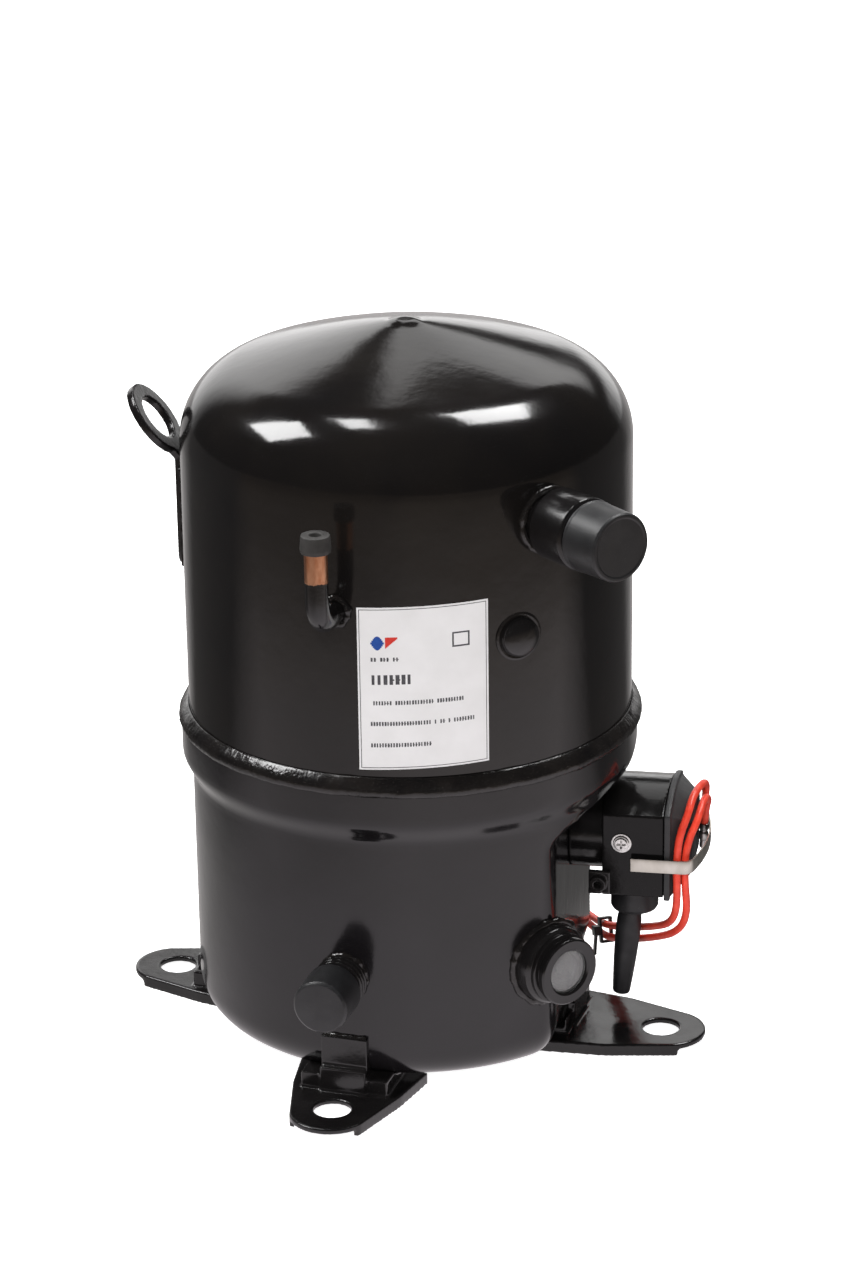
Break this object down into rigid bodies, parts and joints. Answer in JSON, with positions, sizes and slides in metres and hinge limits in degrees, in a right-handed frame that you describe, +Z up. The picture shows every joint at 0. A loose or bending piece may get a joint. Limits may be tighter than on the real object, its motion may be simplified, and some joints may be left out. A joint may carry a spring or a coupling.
{
  "type": "hermetic refrigeration compressor",
  "caption": "Hermetic piston refrigeration compressor: welded black steel shell on flanged feet, capped pipe stubs, oil sight glass, strapped terminal box, sprung motor-pump inside.",
  "frame": {"origin": "on the shell's vertical axis, at the level of the surface that the feet stand on", "axes": "+Z up along the shell's axis; the four feet lie on +X, +Y, -X and -Y, with the terminal box above the +X foot and the discharge stub above the -Y foot"},
  "size_m": [0.316, 0.316, 0.3801],
  "materials": {
    "shell_paint": "glossy black enamel",
    "copper": "bare drawn copper, painted black lower down",
    "glass": "clear",
    "label": "printed white film",
    "black_plastic": "satin moulded",
    "rubber": "matt",
    "zinc": "zinc plated",
    "nickel": "nickel plated",
    "header_steel": "plated",
    "heater_metal": "satin",
    "red_insulation": "silicone rubber",
    "tinned": "tinned",
    "tie_plastic": "nylon",
    "spring_steel": "oil tempered",
    "plain_steel": "bright",
    "grey_iron": "as cast, machined faces",
    "forged_steel": "ground",
    "lamination": "stacked sheet",
    "winding_copper": "enamelled wire",
    "cast_aluminium": "machined",
    "ring_iron": "ground"
  },
  "bodies": {
    "shell": {"lower_shell": "shell_paint", "upper_shell": "shell_paint", "girth_weld": "shell_paint", "foot_right": "shell_paint", "foot_rear": "shell_paint", "foot_left": "shell_paint", "foot_front": "shell_paint", "lifting_eye": "shell_paint", "process_tube": "copper", "suction_adapter": "shell_paint", "discharge_stub": "shell_paint", "sight_glass_boss": "shell_paint", "sight_glass_ring": "shell_paint", "sight_glass_lens": "glass", "fusible_plug": "shell_paint", "nameplate": "label", "terminal_fence": "shell_paint", "terminal_header": "header_steel", "terminal_box": "shell_paint", "box_screw": "zinc", "earth_lug": "shell_paint", "gland_collar": "black_plastic", "cable_sleeve": "rubber", "heater_well": "shell_paint", "heater_element": "heater_metal", "lead_a": "red_insulation", "lead_b": "red_insulation", "lead_ends": "tinned", "lead_tie": "tie_plastic", "spring_seats": "plain_steel"},
    "cover": {"terminal_cover": "black_plastic"},
    "strap": {"cover_strap": "nickel"},
    "suction_plug": {"suction_cap": "black_plastic"},
    "discharge_plug": {"discharge_cap": "black_plastic"},
    "charging_plug": {"process_plug": "rubber"},
    "pump": {"crankcase": "grey_iron", "lower_bearing": "grey_iron", "suspension_springs": "spring_steel", "valve_plate_front": "plain_steel", "valve_plate_rear": "plain_steel", "valve_reeds": "spring_steel", "cylinder_head_front": "grey_iron", "cylinder_head_rear": "grey_iron", "head_bolts": "plain_steel", "stator_core": "lamination", "stator_windings": "winding_copper", "stator_bolts": "plain_steel", "motor_cap": "plain_steel", "top_snubber": "rubber", "discharge_loop": "plain_steel"},
    "crank": {"crankshaft": "forged_steel", "oil_pickup": "plain_steel", "rotor": "lamination", "counterweight": "grey_iron"},
    "block": {"slide_block": "forged_steel"},
    "gallery": {"gallery_plug": "plain_steel"},
    "pistons": {"yoke": "cast_aluminium", "piston_front": "cast_aluminium", "piston_rear": "cast_aluminium", "piston_rings": "ring_iron"}
  },
  "joints": [
    {"name": "pump_bounce", "type": "slide", "parent": "shell", "child": "pump", "axis": [0, 0, 1], "range_m": [-0.003, 0.003], "stiffness_N_per_m": 22789, "springref_m": 0.00994, "deforming": ["suspension_springs", "discharge_loop"]},
    {"name": "crank_spin", "type": "hinge", "parent": "pump", "child": "crank", "pos_m": [0, 0, 0.2], "axis": [0, 0, 1], "continuous": true},
    {"name": "block_turn", "type": "hinge", "parent": "crank", "child": "block", "pos_m": [0.01039, 0.006, 0.092], "axis": [0, 0, 1], "continuous": true},
    {"name": "plug_turn", "type": "hinge", "parent": "crank", "child": "gallery", "pos_m": [0.0052, 0.003, 0.292], "axis": [0, 0, 1], "continuous": true},
    {"name": "yoke_turn", "type": "hinge", "parent": "gallery", "child": "pistons", "pos_m": [0, 0, 0.092], "axis": [0, 0, 1], "continuous": true},
    {"name": "strap_swing", "type": "hinge", "parent": "shell", "child": "strap", "pos_m": [0.12718, 0.05069, 0.11003], "axis": [0.0133, -0.0949, 0.9954], "range_deg": [0, 100]},
    {"name": "cover_slide", "type": "slide", "parent": "shell", "child": "cover", "axis": [0.9903, 0.1392, 0], "range_m": [0, 0.02], "deforming": ["lead_a", "lead_b", "lead_ends"]},
    {"name": "suction_cap_pull", "type": "slide", "parent": "shell", "child": "suction_plug", "axis": [0.8192, -0.5736, 0], "range_m": [0, 0.03]},
    {"name": "discharge_cap_pull", "type": "slide", "parent": "shell", "child": "discharge_plug", "axis": [0, -1, 0], "range_m": [0, 0.03]},
    {"name": "process_plug_pull", "type": "slide", "parent": "shell", "child": "charging_plug", "axis": [0, 0, 1], "range_m": [0, 0.025]}
  ],
  "couplings": [
    {"joint": "block_turn", "follows": "crank_spin", "ratio": -1},
    {"joint": "plug_turn", "follows": "crank_spin", "ratio": -2},
    {"joint": "yoke_turn", "follows": "crank_spin", "ratio": 1},
    {"joint": "cover_slide", "follows": "strap_swing", "m_per_rad": 0.011459}
  ]
}
